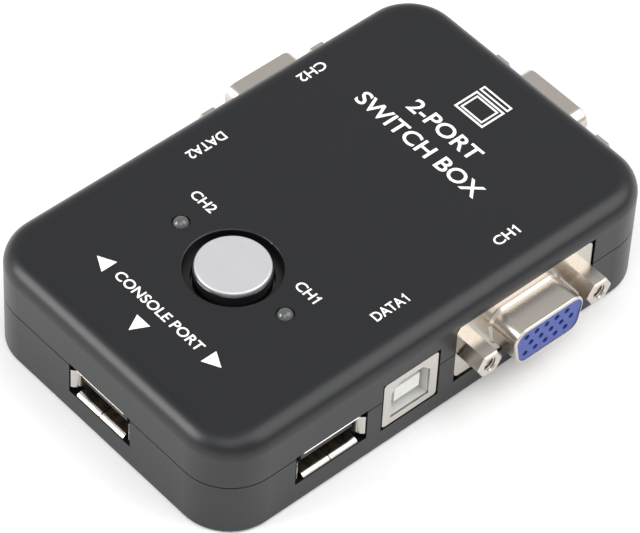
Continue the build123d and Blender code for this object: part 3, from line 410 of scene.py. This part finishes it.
# ---------------------------------------------------------------- pieces


def put_on(material, *nodes):
    """Gives carried-over nodes their finish through their own material slots."""
    for node in nodes:
        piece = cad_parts[node]
        if not piece.material_slots:
            piece.data.materials.append(material)
        for place in piece.material_slots:
            place.material = material


def new_piece(name, mesh, material, body):
    """Adds a finished mesh, whose place is in its vertices, to the object."""
    piece = bpy.data.objects.new(name, mesh)
    mesh.name = name
    if not mesh.materials:
        mesh.materials.append(material)
    bpy.context.scene.collection.objects.link(piece)
    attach(piece, body)


def grow(name, build, sizes, material):
    """Runs a geometry tree once with its named sizes, and gives the plain mesh that it makes."""
    tree = bpy.data.node_groups.new(name, "GeometryNodeTree")
    kinds = {float: "NodeSocketFloat", Vector: "NodeSocketVector"}
    inlets = {"Finish": tree.interface.new_socket("Finish", in_out="INPUT", socket_type="NodeSocketMaterial")}
    for label, size in sizes.items():
        inlets[label] = tree.interface.new_socket(label, in_out="INPUT", socket_type=kinds[type(size)])
    tree.interface.new_socket("Geometry", in_out="OUTPUT", socket_type="NodeSocketGeometry")
    graph = Graph(tree)
    entry = tree.nodes.new("NodeGroupInput")
    values = {label: Value(graph, entry.outputs[label]) for label in inlets}
    shape = graph.node("GeometryNodeRealizeInstances", None, {"Geometry": build(graph, values)})
    done = graph.node("GeometryNodeSetMaterial", None, {"Geometry": shape, "Material": values["Finish"]})
    graph.node("NodeGroupOutput", None, {"Geometry": done})
    holder = bpy.data.objects.new(name + "_holder", bpy.data.meshes.new(name + "_blank"))
    bpy.context.scene.collection.objects.link(holder)
    growth = holder.modifiers.new("growth", "NODES")
    growth.node_group = tree
    growth[inlets["Finish"].identifier] = material
    for label, size in sizes.items():
        growth[inlets[label].identifier] = size
    scene_graph = bpy.context.evaluated_depsgraph_get()
    mesh = bpy.data.meshes.new_from_object(holder.evaluated_get(scene_graph), depsgraph=scene_graph)
    holder.modifiers.remove(growth)
    bpy.data.objects.remove(holder)
    if not mesh.polygons:
        raise RuntimeError(name + " came out empty")
    return mesh


def thread_ridges(graph, sizes):
    """Screw thread inside two holes: a ridge swept along a helix in each."""
    helix = graph.node("GeometryNodeCurveSpiral", None, {
        "Resolution": 20, "Rotations": sizes["Turns"], "Start Radius": sizes["Hole Radius"],
        "End Radius": sizes["Hole Radius"], "Height": sizes["Depth"],
    })
    ridge = graph.node("GeometryNodeCurvePrimitiveCircle", None, {"Resolution": 4, "Radius": sizes["Ridge"]})
    thread = graph.node("GeometryNodeCurveToMesh", None, {
        "Curve": helix, "Profile Curve": ridge, "Fill Caps": True,
    })
    ends = graph.node("GeometryNodeMeshLine", {"mode": "END_POINTS"}, {
        "Count": 2, "Start Location": sizes["First"], "Offset": sizes["Second"],
    })
    screws = graph.node("GeometryNodeInstanceOnPoints", None, {"Points": ends, "Instance": thread})
    turned = graph.node("GeometryNodeTransform", None, {"Geometry": screws, "Rotation": sizes["Turn"]})
    return graph.node("GeometryNodeTransform", None, {"Geometry": turned, "Translation": sizes["Mouth"]})


def arrow_marks(graph, sizes):
    """Three solid triangles in a shallow vee that point left, down and right."""
    number = graph.node("GeometryNodeInputIndex")
    aside = number - 1
    along = aside * sizes["Spacing"]
    below = (abs(aside) - 1) * sizes["Drop"]
    spot = graph.node("ShaderNodeCombineXYZ", None, {0: along, 1: below, 2: 0.0})
    spots = graph.node("GeometryNodePoints", None, {"Count": 3, "Position": spot})
    triangle = graph.node("GeometryNodeMeshCircle", {"fill_type": "NGON"}, {
        "Vertices": 3, "Radius": sizes["Radius"],
    })
    squeezed = graph.node("GeometryNodeTransform", None, {"Geometry": triangle, "Scale": sizes["Squeeze"]})
    plate = graph.node("GeometryNodeExtrudeMesh", None, {
        "Mesh": squeezed, "Offset Scale": sizes["Thickness"],
    })
    flipped = graph.node("GeometryNodeFlipFaces", None, {"Mesh": squeezed})
    solid = graph.node("GeometryNodeJoinGeometry")
    for part in (plate, flipped):
        graph.tree.links.new(part.socket, solid.socket.node.inputs[0])
    angle = graph.node("ShaderNodeCombineXYZ", None, {2: (number - 2) * QUARTER_TURN})
    turn = graph.node("FunctionNodeEulerToRotation", None, {0: angle})
    marks = graph.node("GeometryNodeInstanceOnPoints", None, {
        "Points": spots, "Instance": solid, "Rotation": turn,
    })
    return graph.node("GeometryNodeTransform", None, {"Geometry": marks, "Translation": sizes["Centre"]})


def letters(words):
    """Extruded capitals, one unit tall, from the built-in font."""
    curve = bpy.data.curves.new("legend", "FONT")
    curve.body = words
    curve.extrude = 0.5
    curve.offset = LETTER_WEIGHT
    curve.resolution_u = LETTER_STEPS
    holder = bpy.data.objects.new("legend_holder", curve)
    bpy.context.scene.collection.objects.link(holder)
    scene_graph = bpy.context.evaluated_depsgraph_get()
    mesh = bpy.data.meshes.new_from_object(holder.evaluated_get(scene_graph), depsgraph=scene_graph)
    bpy.data.objects.remove(holder)
    low, high = extent(mesh)
    scale = 1 / (high.y - low.y)
    mesh.transform(Matrix.Diagonal((scale, scale, 1, 1)))
    return mesh


def numeral_one():
    """A figure one with a flag, one unit tall and one unit thick."""
    outline = (
        (0.20, 0.0), (0.36, 0.0), (0.36, 1.0), (0.24, 1.0),
        (0.17, 0.87), (0.0, 0.79), (0.0, 0.65), (0.20, 0.72),
    )
    work = bmesh.new()
    face = work.faces.new([work.verts.new((x, y, -0.5)) for x, y in outline])
    grown = bmesh.ops.extrude_face_region(work, geom=[face])["geom"]
    raised = [item for item in grown if isinstance(item, bmesh.types.BMVert)]
    bmesh.ops.translate(work, verts=raised, vec=(0, 0, 1))
    mesh = bpy.data.meshes.new("one")
    work.to_mesh(mesh)
    work.free()
    return mesh


def extent(mesh):
    """Lowest and highest corner of a mesh."""
    corners = [vertex.co for vertex in mesh.vertices]
    low = Vector([min(corner[axis] for corner in corners) for axis in range(3)])
    high = Vector([max(corner[axis] for corner in corners) for axis in range(3)])
    return low, high


def lettering(words, cap, legend):
    """Ink lettering of a set cap height that fills its legend's width, as a mesh in place on the roof."""
    groups = [letters(words.removesuffix("1"))]
    if words.endswith("1"):
        groups.append(numeral_one())
    edge = 0.0
    for mesh in groups:
        low, high = extent(mesh)
        mesh.transform(Matrix.Translation((edge - low.x, -low.y, 0)))
        edge += high.x - low.x + LETTER_GAP
    mesh = joined(groups)
    low, high = extent(mesh)
    span = high - low
    width = legend.width * MM
    fit = Matrix.Diagonal((width / span.x, cap / span.y, (INK_THICKNESS + INK_BEDDING) / span.z, 1))
    home = Matrix.Translation(-(low + high) / 2)
    up = ROOF + (INK_THICKNESS - INK_BEDDING) / 2
    place = Matrix.Translation((legend.x * MM, legend.y * MM, up))
    mesh.transform(place @ Matrix.Rotation(legend.turn, 4, "Z") @ fit @ home)
    return mesh


def joined(meshes):
    """One mesh from several, with outward normals."""
    work = bmesh.new()
    for mesh in meshes:
        work.from_mesh(mesh)
        bpy.data.meshes.remove(mesh)
    bmesh.ops.remove_doubles(work, verts=work.verts, dist=JOIN_DISTANCE)
    bmesh.ops.recalc_face_normals(work, faces=work.faces)
    whole = bpy.data.meshes.new("joined")
    work.to_mesh(whole)
    work.free()
    whole.materials.clear()
    return whole


def ring_of_ink(centre, size, line):
    """The printed outline of a rectangle, lying on the roof."""
    work = bmesh.new()
    rings = []
    for inset in (0.0, line):
        across = size[0] / 2 - inset
        along = size[1] / 2 - inset
        for level in (ROOF - INK_BEDDING, ROOF + INK_THICKNESS):
            corners = ((-across, -along), (across, -along), (across, along), (-across, along))
            rings.append([work.verts.new((centre.x + x, centre.y + y, level)) for x, y in corners])
    outer_low, outer_high, inner_low, inner_high = rings
    for here in range(4):
        on = (here + 1) % 4
        work.faces.new((outer_high[here], outer_high[on], inner_high[on], inner_high[here]))
        work.faces.new((outer_low[on], outer_low[here], inner_low[here], inner_low[on]))
        work.faces.new((outer_low[here], outer_low[on], outer_high[on], outer_high[here]))
        work.faces.new((inner_low[on], inner_low[here], inner_high[here], inner_high[on]))
    mesh = bpy.data.meshes.new("ring_of_ink")
    work.to_mesh(mesh)
    work.free()
    return mesh


# ---------------------------------------------------------------- sizes and colours


class CaseLook(bpy.types.PropertyGroup):
    """Colours of the two case halves and what fastens them."""

    plastic: FloatVectorProperty(
        name="Case plastic", description="Colour of the moulded case", subtype="COLOR",
        default=(0.0030, 0.0036, 0.0052), min=0, max=1)
    roughness: FloatProperty(
        name="Case roughness", description="How matt the case is", subtype="FACTOR",
        default=0.36, min=0, max=1)
    screw: FloatVectorProperty(
        name="Screw", description="Colour of the case screws", subtype="COLOR",
        default=(0.5, 0.5, 0.5), min=0, max=1)


class PrintLook(bpy.types.PropertyGroup):
    """Legends printed on the roof."""

    ink: FloatVectorProperty(
        name="Ink", description="Colour of the printing", subtype="COLOR",
        default=(0.93, 0.93, 0.93), min=0, max=1)
    heading: StringProperty(name="Heading", description="First line of the title", default="2-PORT")
    title: StringProperty(name="Title", description="Second line of the title", default="SWITCH BOX")
    console: StringProperty(
        name="Front legend", description="Words above the front socket", default="CONSOLE PORT")
    video: StringProperty(name="Video legend", description="Word by each video socket", default="CH")
    data: StringProperty(name="Data legend", description="Word by each data socket", default="DATA")
    title_cap: FloatProperty(
        name="Title height", description="Cap height of the title", default=3.3 * MM, unit="LENGTH")
    label_cap: FloatProperty(
        name="Label height", description="Cap height of the small legends", default=2.0 * MM, unit="LENGTH")
    arrow: FloatProperty(
        name="Arrow size", description="Length of each arrow mark", default=3.2 * MM, unit="LENGTH")


class ButtonLook(bpy.types.PropertyGroup):
    """The push button."""

    disc: FloatVectorProperty(
        name="Disc", description="Silver lacquer on the button's disc", subtype="COLOR",
        default=(0.62, 0.62, 0.645), min=0, max=1)
    cap: FloatVectorProperty(
        name="Cap", description="Colour of the button's cap", subtype="COLOR",
        default=(0.012, 0.012, 0.013), min=0, max=1)
    travel: FloatProperty(
        name="Travel", description="How far the button goes down", default=1.8 * MM, unit="LENGTH")


class LampLook(bpy.types.PropertyGroup):
    """The two indicator lamps."""

    epoxy: FloatVectorProperty(
        name="Epoxy", description="Tint of the clear lens", subtype="COLOR",
        default=(0.24, 0.245, 0.25), min=0, max=1)
    clearness: FloatProperty(
        name="Clearness", description="Share of the light that goes through the lens", subtype="FACTOR",
        default=0.6, min=0, max=1)


class SocketLook(bpy.types.PropertyGroup):
    """Metals and plastics of the sockets."""

    nickel: FloatVectorProperty(
        name="Nickel", description="Plating of the video sockets", subtype="COLOR",
        default=(0.62, 0.575, 0.52), min=0, max=1)
    tin: FloatVectorProperty(
        name="Tin", description="Plating of the data sockets", subtype="COLOR",
        default=(0.62, 0.59, 0.55), min=0, max=1)
    blue: FloatVectorProperty(
        name="Blue", description="Insulator of the video sockets", subtype="COLOR",
        default=(0.038, 0.066, 0.29), min=0, max=1)
    white: FloatVectorProperty(
        name="White", description="Insulator of the square data sockets", subtype="COLOR",
        default=(0.66, 0.66, 0.64), min=0, max=1)
    black: FloatVectorProperty(
        name="Black", description="Insulator of the flat data sockets", subtype="COLOR",
        default=(0.012, 0.011, 0.010), min=0, max=1)
    gold: FloatVectorProperty(
        name="Gold", description="Plating of the contacts", subtype="COLOR",
        default=(0.8, 0.58, 0.25), min=0, max=1)
    turns: FloatProperty(
        name="Thread turns", description="Turns of thread in each jackscrew", default=7.0, min=1, max=12)


class BoardLook(bpy.types.PropertyGroup):
    """Circuit board and what stands on it."""

    resist: FloatVectorProperty(
        name="Solder resist", description="Colour of the board", subtype="COLOR",
        default=(0.01, 0.1, 0.035), min=0, max=1)
    package: FloatVectorProperty(
        name="Chip package", description="Colour of the chips", subtype="COLOR",
        default=(0.02, 0.02, 0.021), min=0, max=1)


class StageLook(bpy.types.PropertyGroup):
    """Floor, lights and camera."""

    floor: FloatVectorProperty(
        name="Floor", description="Colour of the floor paper", subtype="COLOR",
        default=(0.95, 0.95, 0.95), min=0, max=1)
    sky: FloatProperty(name="Sky", description="Strength of the plain surround", default=0.66, min=0, max=3)
    left: FloatProperty(
        name="Left box", description="Power of the left softbox", default=10.0, min=0, unit="POWER")
    right: FloatProperty(
        name="Right box", description="Power of the right softbox", default=9.5, min=0, unit="POWER")
    top: FloatProperty(
        name="Top box", description="Power of the overhead softbox", default=4.0, min=0, unit="POWER")
    lens: FloatProperty(
        name="Lens", description="Focal length of the camera", default=241.4, min=20, unit="CAMERA")


# ---------------------------------------------------------------- operators


class OBJECT_OT_finish_case(bpy.types.Operator):
    """Give the two case halves and their screws their finish"""

    bl_idname = "selector.finish_case"
    bl_label = "Case"

    def execute(self, context):
        look = context.scene.selector_case
        put_on(moulded_plastic("case_plastic", look.plastic, look.roughness), "top_cover", "bottom_cover")
        put_on(turned_metal("screw_zinc", look.screw, 0.3), "case_screws")
        return {"FINISHED"}


class OBJECT_OT_print_roof(bpy.types.Operator):
    """Print the title, legends, arrows and pictogram on the roof"""

    bl_idname = "selector.print_roof"
    bl_label = "Printing"

    def execute(self, context):
        look = context.scene.selector_print
        ink = screen_ink("white_ink", look.ink)
        small = look.label_cap
        title = [
            lettering(look.heading, look.title_cap, HEADING),
            lettering(look.title, look.title_cap, TITLE),
        ]
        new_piece("title_print", joined(title), ink, "case")
        front = lettering(look.console, small, CONSOLE)
        new_piece("front_print", joined([front]), ink, "case")
        lamps = [lettering(look.video + number, small, legend) for number, legend in BY_LAMPS.items()]
        new_piece("lamp_print", joined(lamps), ink, "case")
        edges = [lettering(look.video + number, small, legend) for number, legend in BY_VIDEO.items()]
        edges += [lettering(look.data + number, small, legend) for number, legend in BY_DATA.items()]
        new_piece("edge_print", joined(edges), ink, "case")
        arrows = grow("arrow_print", arrow_marks, {
            "Spacing": ARROW_SPACING, "Drop": ARROW_DROP, "Radius": look.arrow * ARROW_RADIUS_SHARE,
            "Squeeze": ARROW_SQUEEZE, "Thickness": INK_THICKNESS + INK_BEDDING, "Centre": ARROWS_CENTRE,
        }, ink)
        new_piece("arrow_print", arrows, ink, "case")
        sign = [
            ring_of_ink(SIGN_CENTRE, SIGN_FRAME, SIGN_THICK_LINE),
            ring_of_ink(SIGN_CENTRE, SIGN_PANE, SIGN_THIN_LINE),
            ring_of_ink(SIGN_CENTRE + SIGN_BAR_RISE, SIGN_BAR, SIGN_THIN_LINE),
        ]
        new_piece("screen_sign_print", joined(sign), ink, "case")
        return {"FINISHED"}


class OBJECT_OT_finish_button(bpy.types.Operator):
    """Finish the push button, its disc and the switch under it, and give the return spring a mesh of its own
    """

    bl_idname = "selector.finish_button"
    bl_label = "Button"

    def execute(self, context):
        look = context.scene.selector_button
        put_on(gloss_plastic("cap_plastic", look.cap), "button_cap")
        put_on(metallic_paint("disc_silver", look.disc), "button_disc")
        put_on(moulded_plastic("switch_white", SWITCH_WHITE, 0.45), "switch_stem")
        put_on(moulded_plastic("switch_black", SWITCH_BLACK, 0.5), "switch_housing")
        put_on(plated_metal("switch_tin", SWITCH_TIN, 0.3), "switch_frame", "switch_pins")
        put_on(turned_metal("spring_steel", SPRING_STEEL, 0.25), "switch_spring")
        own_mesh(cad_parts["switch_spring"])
        return {"FINISHED"}


class OBJECT_OT_finish_lamps(bpy.types.Operator):
    """Finish the indicator lamps"""

    bl_idname = "selector.finish_lamps"
    bl_label = "Lamps"

    def execute(self, context):
        look = context.scene.selector_lamps
        lens = moulded_clear("lamp_clear", look.epoxy, look.clearness)
        leads = plated_metal("lamp_leads", LAMP_LEAD, 0.25)
        for side in LAMPS:
            put_on(lens, "led_" + side + "_lens")
            put_on(leads, "led_" + side + "_leads")
        return {"FINISHED"}


class OBJECT_OT_finish_video_sockets(bpy.types.Operator):
    """Finish the video sockets and thread their jackscrews"""

    bl_idname = "selector.finish_video_sockets"
    bl_label = "Video sockets"

    def execute(self, context):
        look = context.scene.selector_sockets
        nickel = plated_metal("socket_nickel", look.nickel, 0.24)
        hexagon = turned_metal("jackscrew_nickel", look.nickel, 0.2)
        blue = moulded_plastic("vga_blue", look.blue, 0.42)
        black = moulded_plastic("housing_black", HOUSING_BLACK, 0.5)
        gold = turned_metal("contact_gold", look.gold, 0.25)
        for side in SIDES:
            name = "vga_" + side
            put_on(nickel, name + "_shell", name + "_brackets")
            put_on(hexagon, name + "_jackscrews")
            put_on(blue, name + "_insulator")
            put_on(black, name + "_housing")
            put_on(gold, name + "_contacts")
            low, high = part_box(name + "_jackscrews")
            outward = 1 if side == "rear" else 0
            sideways = 1 - outward
            corner = (high.z - low.z) / math.sqrt(3)
            gap = (high[sideways] - low[sideways]) / 2 - corner
            mouth = (low + high) / 2
            mouth[outward] = low[outward] if side == "left" else high[outward]
            first = Vector((0.0, 0.0, THREAD_START))
            second = first.copy()
            first[sideways] = -gap
            second[sideways] = gap
            ridges = grow(name + "_threads", thread_ridges, {
                "Turns": look.turns, "Hole Radius": THREAD_RADIUS, "Depth": THREAD_DEPTH,
                "Ridge": THREAD_RIDGE, "First": first, "Second": second,
                "Turn": THREAD_TURNS[side], "Mouth": mouth,
            }, hexagon)
            new_piece(name + "_threads", ridges, hexagon, "case")
        return {"FINISHED"}


class OBJECT_OT_finish_data_sockets(bpy.types.Operator):
    """Finish the square and flat data sockets"""

    bl_idname = "selector.finish_data_sockets"
    bl_label = "Data sockets"

    def execute(self, context):
        look = context.scene.selector_sockets
        tin = plated_metal("socket_tin", look.tin, 0.2, (1.0, 1.0, 6.0), 0.12)
        white = moulded_plastic("usb_white", look.white, 0.4)
        black = moulded_plastic("usb_black", look.black, 0.45)
        gold = turned_metal("data_gold", look.gold, 0.25)
        for side in ("right", "left"):
            name = "usb_b_" + side
            put_on(tin, name + "_shell")
            put_on(white, name + "_insulator")
            put_on(gold, name + "_contacts")
        for side in OUTLETS:
            name = "usb_a_" + side
            put_on(tin, name + "_shell")
            put_on(black, name + "_insulator")
            put_on(gold, name + "_contacts")
        return {"FINISHED"}


class OBJECT_OT_finish_board(bpy.types.Operator):
    """Finish the circuit board and its components"""

    bl_idname = "selector.finish_board"
    bl_label = "Circuit board"

    def execute(self, context):
        look = context.scene.selector_board
        put_on(laminate("board_green", look.resist), "circuit_board")
        package = moulded_plastic("chip_black", look.package, 0.55)
        put_on(package, "video_switch_bodies", "usb_switch_bodies", "hub_controller_body")
        leads = plated_metal("lead_tin", CHIP_LEAD, 0.3)
        put_on(leads, "video_switch_leads", "usb_switch_leads", "hub_controller_leads")
        can = turned_metal("can_aluminium", ALUMINIUM, 0.25)
        put_on(can, "crystal", "electrolytic_capacitors")
        put_on(moulded_plastic("ceramic_tan", CERAMIC_TAN, 0.5), "chip_capacitors")
        put_on(moulded_plastic("resistor_black", RESISTOR_BLACK, 0.5), "chip_resistors")
        return {"FINISHED"}


def hang(name, box, power):
    """Hangs a softbox that faces the object."""
    light = bpy.data.lights.new(name, "AREA")
    light.shape = "SQUARE"
    light.size = box.side
    light.energy = power
    lamp = bpy.data.objects.new(name, light)
    lamp.location = (box.x, box.y, box.z)
    lamp.rotation_mode = "QUATERNION"
    lamp.rotation_quaternion = (LIGHT_AIM - lamp.location).to_track_quat("-Z", "Y")
    bpy.context.scene.collection.objects.link(lamp)


def lay_floor(colour):
    """A wide flat sheet of paper just under the object."""
    work = bmesh.new()
    bmesh.ops.create_grid(work, x_segments=8, y_segments=8, size=FLOOR_REACH)
    paper = bpy.data.meshes.new("floor")
    work.to_mesh(paper)
    work.free()
    paper.transform(Matrix.Translation((0.0, 0.0, CAD_BOX[0].z - FLOOR_GAP)))
    paper.materials.append(seamless_paper("floor_paper", colour))
    floor = bpy.data.objects.new("floor", paper)
    bpy.context.scene.collection.objects.link(floor)


def set_camera(lens):
    """The camera, above the front right corner and slightly rolled."""
    out = math.cos(EYE_ABOVE)
    back = Vector((math.sin(EYE_AROUND) * out, -math.cos(EYE_AROUND) * out, math.sin(EYE_ABOVE)))
    level = Vector((math.cos(EYE_AROUND), math.sin(EYE_AROUND), 0.0))
    upright = back.cross(level)
    right = level * math.cos(EYE_ROLL) + upright * math.sin(EYE_ROLL)
    up = upright * math.cos(EYE_ROLL) - level * math.sin(EYE_ROLL)
    camera = bpy.data.cameras.new("camera")
    camera.sensor_width = SENSOR_WIDTH
    camera.lens = lens
    camera.clip_start = NEAREST_SEEN
    camera.clip_end = FARTHEST_SEEN
    eye = bpy.data.objects.new("camera", camera)
    turned = Matrix((right, up, back)).transposed().to_4x4()
    eye.matrix_world = Matrix.Translation(EYE_AIM + back * EYE_DISTANCE) @ turned
    bpy.context.scene.collection.objects.link(eye)
    bpy.context.scene.camera = eye


class OBJECT_OT_make_stage(bpy.types.Operator):
    """Lay the floor, hang the softboxes and set the camera"""

    bl_idname = "selector.make_stage"
    bl_label = "Stage"

    def execute(self, context):
        look = context.scene.selector_stage
        lay_floor(look.floor)
        world = bpy.data.worlds.new("surround")
        world.use_nodes = True
        surround = world.node_tree.nodes["Background"]
        surround.inputs["Color"].default_value = (1.0, 1.0, 1.0, 1.0)
        surround.inputs["Strength"].default_value = look.sky
        context.scene.world = world
        hang("left_box", LEFT_BOX, look.left)
        hang("right_box", RIGHT_BOX, look.right)
        hang("top_box", TOP_BOX, look.top)
        set_camera(look.lens)
        context.scene.view_settings.view_transform = "Standard"
        return {"FINISHED"}


# ---------------------------------------------------------------- panel


class VIEW3D_PT_selector_box(bpy.types.Panel):
    """Lists what can be made, with its sizes and colours"""

    bl_label = "Selector Box"
    bl_idname = "VIEW3D_PT_selector_box"
    bl_space_type = "VIEW_3D"
    bl_region_type = "UI"
    bl_category = "Selector Box"

    def draw(self, context):
        for operator, looks in STEPS:
            box = self.layout.box()
            box.operator(operator.bl_idname)
            for prop in LOOKS[looks].__annotations__:
                box.prop(getattr(context.scene, looks), prop)


LOOKS = {
    "selector_case": CaseLook,
    "selector_print": PrintLook,
    "selector_button": ButtonLook,
    "selector_lamps": LampLook,
    "selector_sockets": SocketLook,
    "selector_board": BoardLook,
    "selector_stage": StageLook,
}
STEPS = (
    (OBJECT_OT_finish_case, "selector_case"),
    (OBJECT_OT_print_roof, "selector_print"),
    (OBJECT_OT_finish_button, "selector_button"),
    (OBJECT_OT_finish_lamps, "selector_lamps"),
    (OBJECT_OT_finish_video_sockets, "selector_sockets"),
    (OBJECT_OT_finish_data_sockets, "selector_sockets"),
    (OBJECT_OT_finish_board, "selector_board"),
    (OBJECT_OT_make_stage, "selector_stage"),
)


def register():
    for name, look in LOOKS.items():
        bpy.utils.register_class(look)
        setattr(bpy.types.Scene, name, PointerProperty(type=look))
    for operator, _ in STEPS:
        bpy.utils.register_class(operator)
    bpy.utils.register_class(VIEW3D_PT_selector_box)


def unregister():
    bpy.utils.unregister_class(VIEW3D_PT_selector_box)
    for operator, _ in reversed(STEPS):
        bpy.utils.unregister_class(operator)
    for name, look in reversed(LOOKS.items()):
        delattr(bpy.types.Scene, name)
        bpy.utils.unregister_class(look)


def main():
    register()
    bpy.ops.selector.finish_case()
    bpy.ops.selector.print_roof()
    bpy.ops.selector.finish_button()
    bpy.ops.selector.finish_lamps()
    bpy.ops.selector.finish_video_sockets()
    bpy.ops.selector.finish_data_sockets()
    bpy.ops.selector.finish_board()
    bpy.ops.selector.make_stage()


if __name__ == "__main__":
    main()
